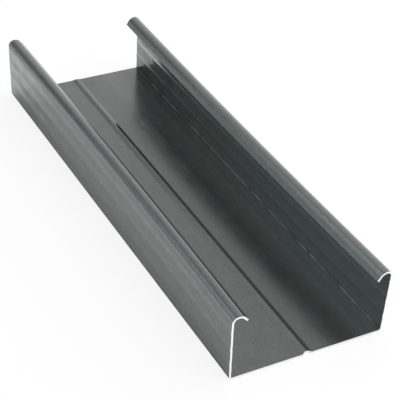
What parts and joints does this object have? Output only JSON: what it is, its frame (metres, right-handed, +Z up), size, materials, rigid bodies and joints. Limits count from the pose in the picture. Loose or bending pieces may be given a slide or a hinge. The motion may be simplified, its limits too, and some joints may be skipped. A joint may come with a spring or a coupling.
{
  "type": "ceiling channel",
  "caption": "Roll-formed steel C channel with a ribbed web, beaded side walls and in-rolled lips; carries ceiling boards on its web and hangs by its lips.",
  "frame": {"origin": "middle of the web's underside, on the surface that the channel lies on", "axes": "+X along the length, +Y across the web, +Z up from the web towards the lips"},
  "size_m": [0.195, 0.06, 0.0263],
  "materials": {
    "coated_steel": "smooth dark grey metallic skin with faint rolling lines along its length, bare bright steel on the cuts"
  },
  "bodies": {
    "root": {"ceiling_channel": "coated_steel"}
  },
  "joints": []
}
